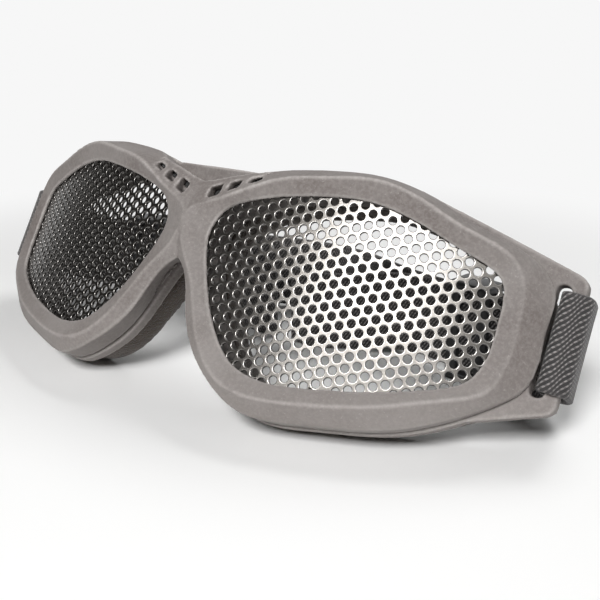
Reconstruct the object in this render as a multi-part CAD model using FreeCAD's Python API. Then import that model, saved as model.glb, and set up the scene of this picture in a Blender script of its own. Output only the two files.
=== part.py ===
import FreeCAD, Part

import math
import os

Vector = FreeCAD.Vector

# Mesh goggles: two curved perforated steel lenses in a moulded rubber frame, with a face foam and an
# elastic head strap. Millimetres. The goggles are drawn upright, with X across the face, Y from the
# front to the back and Z up, and are then leaned back onto the table as they lie at rest.
# Outlines are half outlines of the wearer's left side (+X). The right side is their mirror image.

# Main sizes
half_width = 84.0
shell_height = 60.0
lean_deg = 31.8
edge_overrun = 30.0

# Lenses: sheet steel rolled to one curve, with round holes on a triangular lattice
lens_radius = 131.3
lens_axis_x = 7.5
lens_tilt_deg = 1.05
lens_cover = 3.0
lens_clearance = 0.3
sheet_thickness = 0.8
seat_gap = 0.05
hole_diameter = 1.9
hole_pitch = 2.75
hole_edge_margin = 0.9
lattice_turn_deg = 24.3
lattice_arc = 56.3
lattice_rise = 15.1

# Front shell
lip_rise = 0.5
seat_drop = 0.5
ridge_rise = 2.4
wall_depth = 7.4
wall_draft = 3.6
ring_land = 0.8
seam_gap = 0.4

# Rear frame: a plate rolled round the face, with a clamping ring for each lens and a strap bar
face_radius = 202.0
face_start = 7.0
plate_thickness = 3.3
ring_clearance = 0.25
ring_sink = 1.5
ring_inner_margin = 1.0
aperture_margin = 1.5
brow_top_share = 0.6267
brow_join_share = 0.2
plate_margin = 0.5
wing_overhang = 5.1
wing_top = 30.8
wing_bottom = 0.5
wing_corner_radius = 3.0
bar_width = 2.9
slot_width = 2.9
slot_end_margin = 2.5
slot_corner_radius = 1.2

# Seals and face foam
seal_thickness = 0.4
seal_gap = 0.08
foam_thickness = 9.0
foam_gap = 0.1
foam_edge_margin = 0.5
foam_wing_inset = 6.9
foam_brow_extra = 4.5
foam_inner_margin = 1.6
foam_crown = 1.5
foam_crown_share = 0.33
foam_foot_depth = 0.5
# How much of foam_brow_extra each row of the outline table adds to the foam's thickness
foam_brow_shares = (
    0.0, 0.0, 0.0, 0.25, 0.7, 1.0, 1.0, 1.0, 1.0, 0.95, 0.8, 0.6, 0.4,
    0.2, 0.05, 0.0, 0.0, 0.0, 0.0, 0.0, 0.0, 0.0, 0.0, 0.0, 0.0,
)
# Section of the foam's crown: how far in (share of foam_crown) and how deep (share of foam_thickness)
foam_section_shares = (
    (0.0, 0.0),
    (0.0, 0.7),
    (0.35, 0.9),
    (1.2, 1.0),
)

# Brow vents and their filters
vent_x_share = 0.1226
vent_z_share = 0.5167
vent_run_deg = 23.4
vent_pitch = 5.5
vent_length = 3.6
vent_height = 2.35
vent_slant = 1.0
vent_well_start = 1.4
vent_well_length = 17.0
vent_well_height = 1.8
vent_well_lift = 0.75
vent_taper_share = 0.32
filter_thickness = 2.2
filter_clearance = 0.15

# Strap, sliders and tail stitches
strap_width = 22.6
strap_thickness = 1.6
strap_bar_gap = 0.35
strap_wrap_share = 0.6
layer_gap = 0.3
drop_run = 23.5
slide_run = 31.0
slide_turn_deg = 78.0
loop_rise = 18.5
loop_bow_share = 1.15
tail_dip = 7.0
tail_gap = 6.0
tail_flat = 5.0
slider_length = 12.0
slider_wall = 2.0
slider_bar_thickness = 1.6
slider_bar_length = 3.2
slider_clearance = 0.35
slider_floor_gap = 0.5
stitch_length = 1.6
stitch_proud = 0.3
stitch_inset = 2.0

# Half outlines, as shares of half_width (X) and shell_height (Z), from the temple over the brow to the
# nose and back along the cheek. Columns: opening X and Z, ridge X and Z, outer edge X and Z, the ridge's
# height as a share of ridge_rise, the side wall's depth as a share of wall_depth, and how far that wall
# leans in towards its back as a share of wall_draft.
cup_outline_shares = (
    (0.894, 0.223, 0.949, 0.225, 1.001, 0.233, 1.00, 0.22, 0.00),
    (0.892, 0.305, 0.946, 0.315, 1.001, 0.330, 1.00, 0.21, 0.00),
    (0.886, 0.380, 0.938, 0.398, 0.998, 0.417, 1.00, 0.20, 0.00),
    (0.861, 0.430, 0.906, 0.483, 0.949, 0.507, 1.00, 0.20, 0.00),
    (0.763, 0.480, 0.776, 0.553, 0.788, 0.587, 1.00, 0.31, 0.00),
    (0.652, 0.532, 0.660, 0.613, 0.665, 0.650, 1.00, 0.34, 0.00),
    (0.524, 0.562, 0.540, 0.645, 0.533, 0.688, 1.00, 0.34, 0.00),
    (0.386, 0.540, 0.402, 0.613, 0.385, 0.678, 1.00, 0.34, 0.00),
    (0.255, 0.500, 0.274, 0.572, 0.243, 0.640, 1.00, 0.46, 0.00),
    (0.173, 0.463, 0.199, 0.522, 0.180, 0.597, 1.00, 0.84, 0.00),
    (0.123, 0.425, 0.129, 0.470, 0.093, 0.560, 1.00, 0.92, 0.00),
    (0.096, 0.375, 0.057, 0.423, 0.012, 0.525, 1.04, 0.95, 0.20),
    (0.085, 0.320, 0.007, 0.373, -0.060, 0.483, 1.42, 0.95, 0.60),
    (0.090, 0.262, 0.005, 0.297, -0.071, 0.363, 1.33, 0.93, 1.00),
    (0.107, 0.195, 0.031, 0.215, -0.050, 0.243, 1.00, 0.93, 1.00),
    (0.132, 0.117, 0.076, 0.132, 0.021, 0.160, 0.83, 0.97, 1.00),
    (0.179, -0.002, 0.132, -0.010, 0.086, -0.010, 0.79, 0.99, 0.80),
    (0.239, -0.105, 0.194, -0.143, 0.154, -0.157, 0.83, 1.00, 0.45),
    (0.307, -0.170, 0.280, -0.238, 0.250, -0.265, 0.92, 1.00, 0.15),
    (0.390, -0.190, 0.371, -0.260, 0.344, -0.323, 1.00, 0.89, 0.00),
    (0.507, -0.167, 0.507, -0.233, 0.504, -0.302, 1.00, 0.68, 0.00),
    (0.668, -0.107, 0.692, -0.158, 0.711, -0.228, 1.00, 0.57, 0.00),
    (0.804, -0.030, 0.839, -0.063, 0.868, -0.102, 1.00, 0.41, 0.00),
    (0.869, 0.038, 0.924, 0.017, 0.960, 0.010, 1.00, 0.27, 0.00),
    (0.892, 0.132, 0.945, 0.122, 0.998, 0.103, 1.00, 0.22, 0.00),
)
# The rows of the table where the plate's outline leaves the cup for the brow and for the wing
brow_row = 7
wing_top_row = 5
wing_bottom_row = 22
notch_row = 15


def pairs(column):
    """One outline of the table, as (x, z) points in millimetres."""
    return [(row[column] * half_width, row[column + 1] * shell_height) for row in cup_outline_shares]


brow_top = brow_top_share * shell_height
wing_half_width = half_width + wing_overhang
foam_half_width = wing_half_width - foam_wing_inset
slot_top = wing_top - slot_end_margin
slot_bottom = wing_bottom + slot_end_margin
strap_centre_z = (slot_top + slot_bottom) / 2
opening = pairs(0)
ridge = pairs(2)
outer = pairs(4)


def offset_outline(points, distance):
    """Moves each point of a closed outline outwards, square to the line through its neighbours."""
    return vary_outline(points, [distance] * len(points))


def vary_outline(points, distances):
    """The same, with a distance for each point."""
    moved = []
    count = len(points)
    for index, (x, z) in enumerate(points):
        distance = distances[index]
        before = points[index - 1]
        after = points[(index + 1) % count]
        run_x = after[0] - before[0]
        run_z = after[1] - before[1]
        run = math.hypot(run_x, run_z)
        moved.append((x + run_z / run * distance, z - run_x / run * distance))
    return moved


lens_tilt = math.radians(lens_tilt_deg)


def lens_y(x, z, rise):
    """Depth of the surface that lies a given height in front of the lens's rolled face."""
    radius = lens_radius + rise
    across = x * math.cos(lens_tilt) + z * math.sin(lens_tilt)
    return lens_radius - math.sqrt(radius ** 2 - (across - lens_axis_x) ** 2)


def tilted(shape):
    """A shape drawn round an upright lens axis, turned to the lens's own slight tilt."""
    shape = shape.copy()
    shape.rotate(Vector(0, 0, 0), Vector(0, 1, 0), -lens_tilt_deg)
    return shape


def face_y(x, depth):
    """Depth of the surface that lies a given depth behind the parting face, rolled round the head."""
    radius = face_radius - depth
    return face_start + face_radius - math.sqrt(radius ** 2 - x ** 2)


def on_lens(points, rise):
    return [Vector(x, lens_y(x, z, rise), z) for x, z in points]


def on_face(points, depth):
    return [Vector(x, face_y(x, depth), z) for x, z in points]


lens_back = -(seat_drop + seat_gap + sheet_thickness)
seal_front = lens_back - seal_gap
seal_back = seal_front - seal_thickness
lens_outline = offset_outline(opening, lens_cover)
land_outline = offset_outline(lens_outline, ring_land)
back_outline = vary_outline(outer, [-row[8] * wall_draft for row in cup_outline_shares])


def knots(points):
    """Even parameters for a closed curve through the points, by the chords of the ridge."""
    steps = [0]
    for index in range(len(points)):
        a = points[index]
        b = points[(index + 1) % len(points)]
        steps.append(steps[-1] + math.hypot(b[0] - a[0], b[1] - a[1]))
    return [step / steps[-1] for step in steps]


ring_knots = knots(ridge)


def closed_curve(points):
    curve = Part.BSplineCurve()
    curve.interpolate(Points=points, PeriodicFlag=True, Parameters=ring_knots)
    return curve


def solid_from_faces(faces):
    """A closed solid from faces that meet edge to edge."""
    skin = Part.Compound(faces)
    skin.sewShape()
    shell = skin.Shells[0] if skin.Shells else Part.makeShell(skin.Faces)
    solid = Part.makeSolid(shell)
    if solid.Volume < 0:
        solid.reverse()
    return solid


def ruled_strip(first, second):
    """The surface between two curves that share their parameters."""
    surface = Part.BSplineSurface()
    poles = [list(pair) for pair in zip(first.getPoles(), second.getPoles())]
    surface.buildFromPolesMultsKnots(
        poles, first.getMultiplicities(), [2, 2], first.getKnots(), [0, 1], False, False, first.Degree, 1
    )
    return surface.toShape()


def strip_patches(curves, shares):
    """The skin between each curve and the next, in patches that run on smoothly along the curves."""
    faces = []
    for first, last in zip(shares, shares[1:]):
        patch = [curve.copy() for curve in curves]
        for curve in patch:
            curve.segment(first, last)
        faces += [ruled_strip(patch[index - 1], patch[index]) for index in range(len(patch))]
    return faces


def ring_solid(contours):
    """A ring whose section has one corner on each of the closed contours, in their order."""
    curves = [closed_curve(points) for points in contours]
    for curve in curves:
        curve.setNotPeriodic()
    return solid_from_faces(strip_patches(curves, ring_knots))


def left_half(shape):
    """What lies on the wearer's left of the middle plane."""
    size = 2 * half_width
    keep = Part.makeBox(size, 2 * size, 2 * size, Vector(0, -size, -size))
    return shape.common(keep)


def mirrored(shape):
    return shape.mirror(Vector(0, 0, 0), Vector(1, 0, 0))


def both_sides(half):
    """The half and its mirror image, as one solid."""
    return half.fuse(mirrored(half)).removeSplitter()


def rolled_band(axis_x, axis_y, outer_radius, inner_radius):
    """A band between two upright cylinders, taller than the goggles."""
    low = -shell_height
    height = 3 * shell_height
    base = Vector(axis_x, axis_y, low)
    outside = Part.makeCylinder(outer_radius, height, base)
    return outside.cut(Part.makeCylinder(inner_radius, height, base))


def prism(wire):
    """The wire's area, from in front of the goggles to behind them."""
    flat = Part.Face(wire)
    flat.translate(Vector(0, -edge_overrun, 0))
    return flat.extrude(Vector(0, 3 * edge_overrun, 0))


def outline_wire(points):
    return Part.Wire([closed_curve([Vector(x, 0, z) for x, z in points]).toShape()])


def make_lens():
    """A rolled sheet with its holes square to the sheet."""
    front = lens_radius - seat_drop - seat_gap
    band = rolled_band(lens_axis_x, lens_radius, front, front - sheet_thickness)
    rim = offset_outline(opening, lens_cover - lens_clearance)
    sheet = prism(outline_wire(rim)).common(tilted(band))
    return sheet.cut(tilted(Part.Compound(hole_pins())))


def inside(points, x, z):
    """Whether a place lies within a closed outline."""
    crossings = 0
    for index, (ax, az) in enumerate(points):
        bx, bz = points[(index + 1) % len(points)]
        if (az > z) != (bz > z) and x < ax + (z - az) * (bx - ax) / (bz - az):
            crossings += 1
    return crossings % 2 == 1


def hole_pins():
    """A pin for each hole, square to the lens, on the lattice inside the opening."""
    turn = math.radians(lattice_turn_deg)
    sixth = math.pi / 3
    reach = int(2 * half_width / hole_pitch)
    limit = offset_outline(opening, hole_edge_margin)
    pins = []
    for i in range(-reach, reach):
        for j in range(-reach, reach):
            arc = lattice_arc + hole_pitch * (i * math.cos(turn) + j * math.cos(turn - sixth))
            rise = lattice_rise + hole_pitch * (i * math.sin(turn) + j * math.sin(turn - sixth))
            angle = arc / lens_radius
            if abs(angle) > math.pi / 4:
                continue
            across = lens_axis_x + lens_radius * math.sin(angle)
            x = across * math.cos(lens_tilt) - rise * math.sin(lens_tilt)
            z = across * math.sin(lens_tilt) + rise * math.cos(lens_tilt)
            if not inside(limit, x, z):
                continue
            inward = Vector(-math.sin(angle), math.cos(angle), 0)
            start = Vector(across, lens_radius - lens_radius * math.cos(angle), rise)
            start = start - inward * sheet_thickness
            pins.append(Part.makeCylinder(hole_diameter / 2, 4 * sheet_thickness, start, inward))
    return pins


def vent_block(corners, start, end):
    """A prism on (along, up) corners of the sloping vent strip, straight back from one depth to another."""
    run = math.radians(vent_run_deg)
    points = []
    for along, up in corners:
        x = vent_x_share * half_width + along * math.cos(run) - up * math.sin(run)
        z = vent_z_share * shell_height + along * math.sin(run) + up * math.cos(run)
        points.append(Vector(x, start, z))
    wire = Part.makePolygon(points + [points[0]])
    return Part.Face(wire).extrude(Vector(0, end - start, 0))


def well_corners(clearance):
    along = vent_well_length / 2 - clearance
    low = vent_well_lift - vent_well_height / 2 + clearance
    high = vent_well_lift + vent_well_height / 2 - clearance
    return (-along, low), (along, low), (along, high), (-along, high)


def vent_well():
    """The duct behind the three slots, through the shell and the rear plate."""
    return vent_block(well_corners(0), vent_well_start, edge_overrun)


def vent_cuts():
    """Three slanted slots, lower towards the temple, and the duct behind them."""
    cuts = [vent_well()]
    for number in (-1, 0, 1):
        middle = number * vent_pitch
        half_height = vent_height * (1 - number * vent_taper_share) / 2
        low = (middle - vent_length / 2 - vent_slant / 2, middle + vent_length / 2 - vent_slant / 2)
        corners = (
            (low[0], -half_height),
            (low[1], -half_height),
            (low[1] + vent_slant, half_height),
            (low[0] + vent_slant, half_height),
        )
        cuts.append(vent_block(corners, -edge_overrun, vent_well_start + filter_clearance))
    return cuts


def make_front_frame():
    """The rubber shell: lip, bevel up to the ridge, outer slope, side wall and the seat behind."""
    rises = [row[6] * ridge_rise for row in cup_outline_shares]
    depths = [row[7] * wall_depth for row in cup_outline_shares]
    ridge_points = [Vector(x, lens_y(x, z, rise), z) for (x, z), rise in zip(ridge, rises)]
    edge_points = [Vector(x, face_y(x, 0) - depth, z) for (x, z), depth in zip(outer, depths)]
    half = left_half(ring_solid([
        on_lens(opening, lip_rise),
        ridge_points,
        edge_points,
        on_face(back_outline, -seam_gap / 2),
        on_face(land_outline, -seam_gap / 2),
        on_lens(lens_outline, -seat_drop),
        on_lens(opening, -seat_drop),
    ]))
    half = half.cut(Part.Compound(vent_cuts()))
    return both_sides(half)


def plate_wire():
    """Half of the rear plate's outline: brow, wing and cheek, closed along the middle."""
    grown = offset_outline(back_outline, plate_margin)
    top = [Vector(x, 0, z) for x, z in grown[wing_top_row:brow_row + 1]]
    bottom = [Vector(x, 0, z) for x, z in grown[notch_row:wing_bottom_row + 1]]
    brow_middle = Vector(0, 0, brow_top)
    wing_upper = Vector(wing_half_width, 0, wing_top)
    wing_lower = Vector(wing_half_width, 0, wing_bottom)
    notch_top = Vector(0, 0, bottom[0].z)
    brow_join = Vector(half_width * brow_join_share, 0, brow_top)
    top_curve = Part.BSplineCurve()
    top_curve.interpolate(top + [brow_join])
    bottom_curve = Part.BSplineCurve()
    bottom_curve.interpolate(bottom)
    upper_in, upper_arc, upper_out = corner_arc(top[0], wing_upper, wing_lower)
    lower_in, lower_arc, lower_out = corner_arc(wing_upper, wing_lower, bottom[-1])
    edges = [
        Part.makeLine(brow_middle, brow_join),
        top_curve.toShape(),
        Part.makeLine(top[0], upper_in),
        upper_arc,
        Part.makeLine(upper_out, lower_in),
        lower_arc,
        Part.makeLine(lower_out, bottom[-1]),
        bottom_curve.toShape(),
        Part.makeLine(bottom[0], notch_top),
        Part.makeLine(notch_top, brow_middle),
    ]
    return Part.Wire(Part.__sortEdges__(edges))


def corner_arc(before, corner, after):
    """A round on a corner: where it starts, the arc, and where it ends."""
    to_before = (before - corner).normalize()
    to_after = (after - corner).normalize()
    half_angle = to_before.getAngle(to_after) / 2
    start = corner + to_before * (wing_corner_radius / math.tan(half_angle))
    end = corner + to_after * (wing_corner_radius / math.tan(half_angle))
    bisector = (to_before + to_after).normalize()
    centre = corner + bisector * (wing_corner_radius / math.sin(half_angle))
    middle = centre - bisector * wing_corner_radius
    return start, Part.Arc(start, middle, end).toShape(), end


def slot_wire():
    """The strap's slot, a tall rectangle with round corners beside the bar."""
    right = wing_half_width - bar_width
    left = right - slot_width
    r = slot_corner_radius
    diagonal = r * (1 - math.sqrt(0.5))
    corners = []
    edges = []
    for x, z, sx, sz in (
        (left, slot_bottom, 1, 1),
        (right, slot_bottom, -1, 1),
        (right, slot_top, -1, -1),
        (left, slot_top, 1, -1),
    ):
        flat = Vector(x + sx * r, 0, z)
        upright = Vector(x, 0, z + sz * r)
        middle = Vector(x + sx * diagonal, 0, z + sz * diagonal)
        edges.append(Part.Arc(flat, middle, upright).toShape())
        corners.append((flat, upright))
    edges.append(Part.makeLine(corners[0][0], corners[1][0]))
    edges.append(Part.makeLine(corners[1][1], corners[2][1]))
    edges.append(Part.makeLine(corners[2][0], corners[3][0]))
    edges.append(Part.makeLine(corners[3][1], corners[0][1]))
    return Part.Wire(Part.__sortEdges__(edges))


def make_rear_frame():
    """The rolled plate with its clamping rings, eye openings, strap slots and vent ways."""
    front = face_radius - seam_gap / 2
    band = rolled_band(0, face_start + face_radius, front, front - plate_thickness)
    plate = prism(plate_wire()).common(band)
    aperture = offset_outline(opening, aperture_margin)
    plate = plate.cut(prism(outline_wire(aperture))).cut(prism(slot_wire()))
    ring_inside = offset_outline(opening, ring_inner_margin)
    ring_outside = offset_outline(land_outline, -ring_clearance)
    ring = ring_solid([
        on_face(ring_outside, ring_sink),
        on_lens(offset_outline(opening, lens_cover - lens_clearance), seal_back - seal_gap),
        on_lens(ring_inside, seal_back - seal_gap),
        on_face(aperture, plate_thickness),
    ])
    half = plate.fuse(left_half(ring))
    return both_sides(half.cut(vent_well()))


def make_seal():
    """A thin ring between the back of the lens and the clamping ring."""
    outer_edge = offset_outline(opening, lens_cover - lens_clearance)
    inner_edge = offset_outline(opening, ring_inner_margin)
    return ring_solid([
        on_lens(outer_edge, seal_front),
        on_lens(outer_edge, seal_back),
        on_lens(inner_edge, seal_back),
        on_lens(inner_edge, seal_front),
    ])


def distance_to_outline(point, outline):
    """How far a point is from the nearest side of a closed outline."""
    nearest = edge_overrun
    for index, (ax, az) in enumerate(outline):
        bx, bz = outline[(index + 1) % len(outline)]
        run_x = bx - ax
        run_z = bz - az
        share = ((point[0] - ax) * run_x + (point[1] - az) * run_z) / (run_x ** 2 + run_z ** 2)
        share = min(max(share, 0), 1)
        nearest = min(nearest, math.hypot(point[0] - ax - run_x * share, point[1] - az - run_z * share))
    return nearest


def make_face_foam():
    """The pad behind the plate, crowned towards the face and pressed flat where it stands on the table.

    It comes leaned, with the height of the table.
    """
    start = plate_thickness + seam_gap / 2 + foam_gap
    limit = [(min(x, foam_half_width), z) for x, z in offset_outline(back_outline, -foam_edge_margin)]
    inner_side = offset_outline(opening, foam_inner_margin)
    widths = [distance_to_outline(point, limit) for point in inner_side]
    outside = vary_outline(inner_side, widths)
    crowns = [min(foam_crown, width * foam_crown_share) for width in widths]
    depths = [foam_thickness + foam_brow_extra * share for share in foam_brow_shares]
    sides = [(outside, -inset, depth) for inset, depth in foam_section_shares]
    sides += [(inner_side, inset, depth) for inset, depth in reversed(foam_section_shares)]
    contours = []
    for side, inset, depth in sides:
        moved = vary_outline(side, [inset * crown for crown in crowns])
        contours.append([Vector(x, face_y(x, start + depth * thick), z) for (x, z), thick in zip(moved, depths)])
    half = lean_shape(left_half(ring_solid(contours)))
    floor = half.optimalBoundingBox(True, False).ZMin + foam_foot_depth
    size = 2 * half_width
    half = half.cut(Part.makeBox(size, 2 * size, size, Vector(0, -size, floor - size)))
    return both_sides(half), floor


def make_vent_filter():
    """Foam that fills the duct just behind the three slots."""
    start = vent_well_start + filter_clearance
    return vent_block(well_corners(filter_clearance), start, start + filter_thickness)


# The strap is drawn on the table, so its stations use the leaned frame.
lean = math.radians(lean_deg)


def leaned(point):
    """A place on the upright goggles, once they lean back."""
    y = point.y * math.cos(lean) + point.z * math.sin(lean)
    z = -point.y * math.sin(lean) + point.z * math.cos(lean)
    return Vector(point.x, y, z)


def lean_shape(shape):
    shape = shape.copy()
    shape.rotate(Vector(0, 0, 0), Vector(1, 0, 0), -lean_deg)
    return shape


def smooth(t):
    return t * t * (3 - 2 * t)


def bar_point(x, depth):
    """A place on the strap's middle line at the bar, a given depth behind the bar's front."""
    return Vector(x, face_y(x, seam_gap / 2 + depth), strap_centre_z)


# How far round each corner of the bar the strap's stations stand
outer_turn_shares = (0, 0.5, 1)
inner_turn_shares = (0, 0.4, 0.7, 1)


def bar_turn():
    """Places round the bar's front with the outward direction at each, from its outer to its inner side."""
    outer_x = wing_half_width
    inner_x = wing_half_width - bar_width
    slope = math.asin((outer_x - bar_width / 2) / face_radius)
    front = slope - math.pi / 2
    wrap_end = plate_thickness * strap_wrap_share
    places = [(bar_point(outer_x, wrap_end), 0)]
    for share in outer_turn_shares:
        places.append((bar_point(outer_x, 0), front * share))
    for share in inner_turn_shares:
        places.append((bar_point(inner_x, 0), front + (-math.pi - front) * share))
    places.append((bar_point(inner_x, wrap_end), -math.pi))
    return [(place, Vector(math.cos(angle), math.sin(angle), 0)) for place, angle in places]


def slide_axis():
    turn = math.radians(slide_turn_deg)
    return Vector(-math.sin(turn), math.cos(turn), 0)


class Station:
    """One cross section of the strap: its middle, its way up, and its outward side."""

    def __init__(self, middle, up, outward):
        self.middle = middle
        self.up = up
        self.outward = outward

    def shifted(self, distance, flip):
        """The same section moved outwards, its outward side turned round if asked."""
        side = self.outward * (-1 if flip else 1)
        return Station(self.middle + self.outward * distance, self.up, side)


def strap_heights(floor):
    """Height of the strap's middle at the sliders and at the back of the head."""
    at_slider = floor + slider_floor_gap + slider_wall + slider_clearance + strap_width / 2
    at_back = floor + strap_width / 2
    return at_slider, at_back


def bend(start, start_way, end, end_way, reach, count):
    """Places, with the way on at each, along a smooth bend from one direction into another."""
    steps = []
    for step in range(count + 1):
        t = step / count
        place = (
            start * (2 * t ** 3 - 3 * t ** 2 + 1)
            + start_way * (reach * (t ** 3 - 2 * t ** 2 + t))
            + end * (3 * t ** 2 - 2 * t ** 3)
            + end_way * (reach * (t ** 3 - t ** 2))
        )
        way = (
            (end - start) * (6 * t - 6 * t ** 2)
            + start_way * (reach * (3 * t ** 2 - 4 * t + 1))
            + end_way * (reach * (3 * t ** 2 - 2 * t))
        ).normalize()
        steps.append((place, way))
    return steps


def drop_stations(floor, count):
    """From behind the bar down to the straight run, turning upright on the way."""
    start = leaned(bar_point(wing_half_width - bar_width / 2, plate_thickness))
    start_way = leaned(Vector(0, 1, 0))
    end_way = slide_axis()
    mean_way = (start_way + end_way).normalize()
    end = start + mean_way * drop_run
    end.z = strap_heights(floor)[0]
    up_start = leaned(Vector(0, 0, 1))
    stations = []
    for index, (place, way) in enumerate(bend(start, start_way, end, end_way, drop_run, count)):
        t = smooth(index / count)
        up = up_start * (1 - t) + Vector(0, 0, 1) * t
        outward = way.cross(up).normalize()
        up = outward.cross(way).normalize()
        stations.append(Station(place, up, outward))
    return stations


upright = Vector(0, 0, 1)
across = Vector(-1, 0, 0)
half_layers = (strap_thickness + layer_gap) / 2


def run_end(floor, side):
    """Where the straight run ends, on the outer layer (1) or the inner one (-1)."""
    foot = drop_stations(floor, 1)[-1]
    return foot.middle + slide_axis() * slide_run + foot.outward * (side * half_layers)


def tail_end(floor):
    """The strap's free end, flat across the back on the table."""
    start = run_end(floor, -1)
    return Vector(tail_gap / 2, start.y - tail_dip, strap_heights(floor)[1])


def strap_stations(floor):
    """Stations from the middle of the back, outside to the bar, round it, and inside to the tail."""
    drop = drop_stations(floor, 6)
    foot = drop[-1]
    way = slide_axis()
    bar_offset = bar_width / 2 + strap_bar_gap + strap_thickness / 2

    # Back of the loop: a bow between the middle plane and the straight run
    stations = []
    start = run_end(floor, 1)
    middle = Vector(0, start.y + loop_rise, strap_heights(floor)[1])
    bow = bend(start, way, middle, across, start.x * loop_bow_share, 9)
    for place, ahead in reversed(bow[1:]):
        stations.append(Station(place, upright, ahead.cross(upright).normalize()))

    # Outer layer: straight run, then the drop, towards the bar
    run_steps = 5
    for step in range(run_steps):
        place = foot.middle + way * (slide_run * (1 - step / run_steps))
        stations.append(Station(place, upright, foot.outward).shifted(half_layers, False))
    last = len(drop) - 1
    for index in range(last, 0, -1):
        t = smooth(index / last)
        distance = bar_offset + (half_layers - bar_offset) * t
        stations.append(drop[index].shifted(distance, False))

    # Round the bar: its outer side, front and inner side
    up_bar = leaned(upright)
    turn_radius = strap_bar_gap + strap_thickness / 2
    for place, side in bar_turn():
        stations.append(Station(leaned(place + side * turn_radius), up_bar, leaned(side)))

    # Inner layer: the drop and the straight run, then the tail across the back
    for index in range(1, last + 1):
        t = smooth(index / last)
        distance = bar_offset + (half_layers - bar_offset) * t
        stations.append(drop[index].shifted(-distance, True))
    for step in range(1, run_steps + 1):
        place = foot.middle + way * (slide_run * step / run_steps)
        stations.append(Station(place, upright, foot.outward).shifted(-half_layers, True))
    end = tail_end(floor)
    flat_start = end - across * tail_flat
    start = run_end(floor, -1)
    for place, ahead in bend(start, way, flat_start, across, start.x - flat_start.x, 6)[1:]:
        stations.append(Station(place, upright, upright.cross(ahead).normalize()))
    stations.append(Station((flat_start + end) / 2, upright, upright.cross(across)))
    stations.append(Station(end, upright, upright.cross(across)))
    return stations


def band_solid(stations, width, thickness):
    """A flat band through the stations, in patches that run on smoothly from one to the next."""
    steps = [0]
    for before, after in zip(stations, stations[1:]):
        steps.append(steps[-1] + (after.middle - before.middle).Length)
    shares = [step / steps[-1] for step in steps]
    curves = []
    for side, height in ((1, 1), (1, -1), (-1, -1), (-1, 1)):
        points = []
        for station in stations:
            shift = station.outward * (side * thickness / 2) + station.up * (height * width / 2)
            points.append(station.middle + shift)
        curve = Part.BSplineCurve()
        curve.interpolate(Points=points, Parameters=shares)
        curves.append(curve)
    faces = strip_patches(curves, shares)
    for ends in ([c.StartPoint for c in curves], [c.EndPoint for c in curves]):
        faces.append(Part.Face(Part.makePolygon(ends + [ends[0]])))
    return solid_from_faces(faces)


def make_strap(floor):
    half = band_solid(strap_stations(floor), strap_width, strap_thickness)
    return both_sides(left_half(half))


def slider_block(along, out_from, out_to, length, low, high, floor):
    """A box in the slider's own directions: along the strap, outwards, and up."""
    foot = drop_stations(floor, 1)[-1]
    way = slide_axis()
    centre = foot.middle + way * (slide_run / 2 + along)
    corner_points = []
    for run, out in ((-1, out_from), (1, out_from), (1, out_to), (-1, out_to)):
        place = centre + way * (run * length / 2) + foot.outward * out
        corner_points.append(Vector(place.x, place.y, centre.z + low))
    wire = Part.makePolygon(corner_points + [corner_points[0]])
    return Part.Face(wire).extrude(Vector(0, 0, high - low))


def make_slider(floor):
    """A moulded slider: rails above and below, a bar outside in the middle, two bars inside."""
    reach = strap_thickness + layer_gap / 2 + slider_clearance
    depth = reach + slider_bar_thickness
    inner_height = strap_width / 2 + slider_clearance
    outer_height = inner_height + slider_wall
    bars = (
        (0, reach, depth, slider_bar_length),
        (-(slider_length - slider_bar_length) / 2, -depth, -reach, slider_bar_length),
        ((slider_length - slider_bar_length) / 2, -depth, -reach, slider_bar_length),
    )
    top = slider_block(0, -depth, depth, slider_length, inner_height, outer_height, floor)
    low = slider_block(0, -depth, depth, slider_length, -outer_height, -inner_height, floor)
    body = top.fuse(low)
    for along, out_from, out_to, length in bars:
        body = body.fuse(slider_block(along, out_from, out_to, length, -outer_height, outer_height, floor))
    return body.removeSplitter()


def make_tail_stitch(floor):
    """A bar tack across the strap's tail, proud of its front face."""
    end = tail_end(floor)
    reach = strap_width / 2 - stitch_inset
    corner = Vector(
        end.x + stitch_inset - stitch_length / 2,
        end.y - strap_thickness / 2 - stitch_proud,
        end.z - reach,
    )
    return Part.makeBox(stitch_length, stitch_proud, 2 * reach, corner)


def build():
    """Every node's solid, in the row frame."""
    lens = make_lens()
    seal = make_seal()
    vent_filter = make_vent_filter()
    foam, floor = make_face_foam()
    slider = make_slider(floor)
    stitch = make_tail_stitch(floor)
    nodes = {
        "front_frame": lean_shape(make_front_frame()),
        "rear_frame": lean_shape(make_rear_frame()),
        "lens_left": lean_shape(lens),
        "lens_right": mirrored(lean_shape(lens)),
        "lens_seal_left": lean_shape(seal),
        "lens_seal_right": mirrored(lean_shape(seal)),
        "vent_filter_left": lean_shape(vent_filter),
        "vent_filter_right": mirrored(lean_shape(vent_filter)),
        "face_foam": foam,
        "strap": make_strap(floor),
        "slider_left": slider,
        "slider_right": mirrored(slider),
        "tail_stitch_left": stitch,
        "tail_stitch_right": mirrored(stitch),
    }
    front = nodes["front_frame"].optimalBoundingBox(True, False).YMin
    rear = nodes["strap"].optimalBoundingBox(True, False).YMax
    move = Vector(0, -(front + rear) / 2, -floor)
    for shape in nodes.values():
        shape.translate(move)
    return nodes


os.makedirs("parts", exist_ok=True)
for name, shape in build().items():
    shape.exportStep("parts/" + name + ".step")
    print(name, "valid", shape.isValid(), "solids", len(shape.Solids), "volume", round(shape.Volume, 1))
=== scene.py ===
import math

import bmesh
import bpy
import numpy as np
from mathutils import Matrix, Vector, noise


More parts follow.
